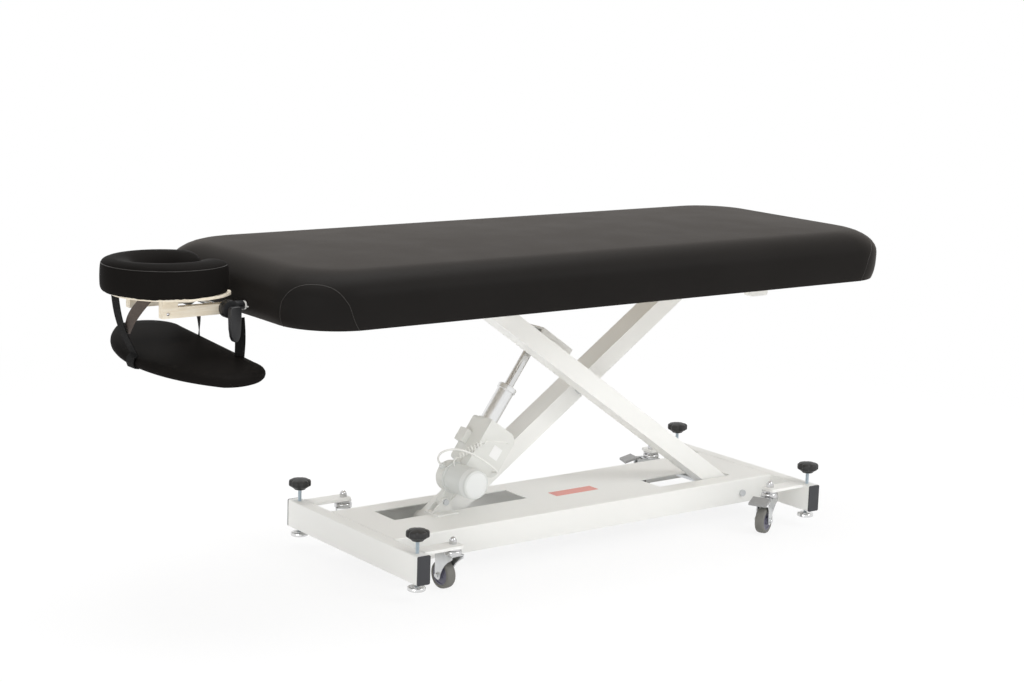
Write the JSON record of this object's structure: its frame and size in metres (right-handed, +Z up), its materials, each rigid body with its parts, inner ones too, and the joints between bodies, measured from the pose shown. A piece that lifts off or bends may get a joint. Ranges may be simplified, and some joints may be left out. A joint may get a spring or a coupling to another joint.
{
  "type": "electric massage table",
  "caption": "Height-adjustable treatment table with a thick padded top on a motor-driven scissor lift, castered base with levelling screws, tilting face cradle and arm shelf.",
  "frame": {"origin": "on the floor under the middle of the whole length and width, casters standing", "axes": "+Z up, +X towards the foot end, +Y away from the side that the motor's end faces"},
  "size_m": [2.2795, 0.783, 0.873],
  "materials": {
    "white_frame": "off-white powder coat",
    "dark_plastic": "moulded",
    "zinc_steel": "zinc plated",
    "chrome": "polished",
    "white_plastic": "nylon",
    "grey_rubber": "smooth",
    "grey_plastic": "satin",
    "aluminium": "satin anodised",
    "lead": "smooth",
    "black_leather": "satin polyurethane cover over foam",
    "pale_wood": "lacquered ply",
    "webbing": "woven"
  },
  "bodies": {
    "base_frame": {"base_spine": "white_frame", "head_cross_beam": "white_frame", "foot_cross_beam": "white_frame", "beam_end_caps": "dark_plastic", "roller_tray": "white_frame", "caster_plates": "white_frame", "caster_stems": "zinc_steel", "base_pivot_bolts": "zinc_steel", "actuator_bracket": "white_frame", "control_box": "dark_plastic"},
    "lift_arm_outer": {"outer_arm": "white_frame", "outer_arm_pins": "zinc_steel", "rod_end_bracket": "white_frame"},
    "upper_rollers": {"upper_rollers": "white_plastic"},
    "lift_arm_inner": {"inner_arm": "white_frame", "lower_roller_axle": "zinc_steel"},
    "lower_rollers": {"lower_rollers": "white_plastic"},
    "table_top": {"top_frame": "white_frame", "roller_rails": "white_frame", "top_hinge_lugs": "white_frame", "top_hinge_pin": "zinc_steel", "top_board": "pale_wood", "edge_hook": "white_frame", "top_cushion": "black_leather"},
    "actuator_barrel": {"actuator_housing": "grey_plastic", "actuator_motor": "grey_plastic", "actuator_tube": "aluminium", "actuator_collar": "aluminium", "curly_lead": "lead", "motor_lead": "lead"},
    "actuator_rod": {"actuator_rod": "chrome", "rod_eye": "chrome"},
    "cradle_frame": {"cradle_rods": "chrome", "rod_collars": "white_plastic", "cradle_knuckles": "dark_plastic", "arm_shelf": "black_leather", "rear_straps": "webbing"},
    "cradle_head": {"cradle_side_arms": "pale_wood", "cradle_platform": "pale_wood", "face_cushion": "black_leather", "front_straps": "webbing"},
    "cam_lever": {"cam_lever": "dark_plastic"},
    "head_near_leveller": {"head_near_levelling_screw": "zinc_steel", "head_near_knob": "dark_plastic"},
    "head_near_fork": {"head_near_caster_fork": "zinc_steel"},
    "head_near_wheel": {"head_near_caster_wheel": "grey_rubber"},
    "head_far_leveller": {"head_far_levelling_screw": "zinc_steel", "head_far_knob": "dark_plastic"},
    "head_far_fork": {"head_far_caster_fork": "zinc_steel"},
    "head_far_wheel": {"head_far_caster_wheel": "grey_rubber"},
    "foot_near_leveller": {"foot_near_levelling_screw": "zinc_steel", "foot_near_knob": "dark_plastic"},
    "foot_near_fork": {"foot_near_caster_fork": "zinc_steel"},
    "foot_near_wheel": {"foot_near_caster_wheel": "grey_rubber"},
    "foot_near_pedal": {"foot_near_brake_pedal": "grey_plastic"},
    "foot_far_leveller": {"foot_far_levelling_screw": "zinc_steel", "foot_far_knob": "dark_plastic"},
    "foot_far_fork": {"foot_far_caster_fork": "zinc_steel"},
    "foot_far_wheel": {"foot_far_caster_wheel": "grey_rubber"},
    "foot_far_pedal": {"foot_far_brake_pedal": "grey_plastic"}
  },
  "joints": [
    {"name": "lift", "type": "hinge", "parent": "base_frame", "child": "lift_arm_outer", "pos_m": [0.801, 0, 0.086], "axis": [0, 1, 0], "range_deg": [-10, 0]},
    {"name": "arm_crossing", "type": "hinge", "parent": "lift_arm_outer", "child": "lift_arm_inner", "pos_m": [0.32362, 0, 0.41717], "axis": [0, 1, 0], "range_deg": [0, 20]},
    {"name": "top_hinge", "type": "hinge", "parent": "lift_arm_inner", "child": "table_top", "pos_m": [0.72993, 0, 0.69903], "axis": [0, 1, 0], "range_deg": [-10, 0]},
    {"name": "upper_roller_spin", "type": "hinge", "parent": "lift_arm_outer", "child": "upper_rollers", "pos_m": [-0.08268, 0, 0.69903], "axis": [0, 1, 0], "continuous": true},
    {"name": "lower_roller_spin", "type": "hinge", "parent": "lift_arm_inner", "child": "lower_rollers", "pos_m": [-0.15375, 0, 0.086], "axis": [0, 1, 0], "continuous": true},
    {"name": "actuator_swing", "type": "hinge", "parent": "base_frame", "child": "actuator_barrel", "pos_m": [-0.155, 0, 0.1556], "axis": [0, 1, 0], "range_deg": [0, 0.85]},
    {"name": "actuator_extend", "type": "slide", "parent": "actuator_barrel", "child": "actuator_rod", "axis": [0.5793, 0, 0.8151], "range_m": [-0.1428, 0]},
    {"name": "head_near_swivel", "type": "hinge", "parent": "base_frame", "child": "head_near_fork", "pos_m": [-0.306, -0.263, 0.1127], "axis": [0, 0, 1], "continuous": true},
    {"name": "head_near_wheel_spin", "type": "hinge", "parent": "head_near_fork", "child": "head_near_wheel", "pos_m": [-0.30788, -0.22705, 0.0375], "axis": [-0.9986, -0.0523, 0], "continuous": true},
    {"name": "head_near_levelling", "type": "slide", "parent": "base_frame", "child": "head_near_leveller", "axis": [0, 0, 1], "range_m": [-0.03, 0.008]},
    {"name": "head_far_swivel", "type": "hinge", "parent": "base_frame", "child": "head_far_fork", "pos_m": [-0.306, 0.263, 0.1127], "axis": [0, 0, 1], "continuous": true},
    {"name": "head_far_wheel_spin", "type": "hinge", "parent": "head_far_fork", "child": "head_far_wheel", "pos_m": [-0.288, 0.29418, 0.0375], "axis": [-0.866, 0.5, 0], "continuous": true},
    {"name": "head_far_levelling", "type": "slide", "parent": "base_frame", "child": "head_far_leveller", "axis": [0, 0, 1], "range_m": [-0.03, 0.008]},
    {"name": "foot_near_swivel", "type": "hinge", "parent": "base_frame", "child": "foot_near_fork", "pos_m": [0.808, -0.263, 0.1127], "axis": [0, 0, 1], "continuous": true},
    {"name": "foot_near_wheel_spin", "type": "hinge", "parent": "foot_near_fork", "child": "foot_near_wheel", "pos_m": [0.77511, -0.27764, 0.0375], "axis": [0.4067, -0.9135, 0], "continuous": true},
    {"name": "foot_near_pedal_press", "type": "hinge", "parent": "foot_near_fork", "child": "foot_near_pedal", "pos_m": [0.79887, -0.26707, 0.084], "axis": [0.4067, -0.9135, 0], "range_deg": [0, 9]},
    {"name": "foot_near_levelling", "type": "slide", "parent": "base_frame", "child": "foot_near_leveller", "axis": [0, 0, 1], "range_m": [-0.03, 0.008]},
    {"name": "foot_far_swivel", "type": "hinge", "parent": "base_frame", "child": "foot_far_fork", "pos_m": [0.808, 0.263, 0.1127], "axis": [0, 0, 1], "continuous": true},
    {"name": "foot_far_wheel_spin", "type": "hinge", "parent": "foot_far_fork", "child": "foot_far_wheel", "pos_m": [0.77417, 0.27531, 0.0375], "axis": [-0.342, -0.9397, 0], "continuous": true},
    {"name": "foot_far_pedal_press", "type": "hinge", "parent": "foot_far_fork", "child": "foot_far_pedal", "pos_m": [0.7986, 0.26642, 0.084], "axis": [-0.342, -0.9397, 0], "range_deg": [0, 9]},
    {"name": "foot_far_levelling", "type": "slide", "parent": "base_frame", "child": "foot_far_leveller", "axis": [0, 0, 1], "range_m": [-0.03, 0.008]},
    {"name": "cradle_slide", "type": "slide", "parent": "table_top", "child": "cradle_frame", "axis": [-1, 0, 0], "range_m": [0, 0.1]},
    {"name": "cradle_tilt", "type": "hinge", "parent": "cradle_frame", "child": "cradle_head", "pos_m": [-0.8705, 0, 0.75503], "axis": [0, -1, 0], "range_deg": [0, 20], "deforming": ["front_straps"]},
    {"name": "cam_lever_open", "type": "hinge", "parent": "cradle_frame", "child": "cam_lever", "pos_m": [-0.8705, -0.133, 0.75503], "axis": [-1, 0, 0], "range_deg": [0, 80]}
  ],
  "couplings": [
    {"joint": "arm_crossing", "follows": "lift", "ratio": -2},
    {"joint": "top_hinge", "follows": "lift", "ratio": 1},
    {"joint": "actuator_swing", "follows": "lift", "ratio": -0.08},
    {"joint": "actuator_extend", "follows": "lift", "m_per_rad": 0.81761}
  ]
}
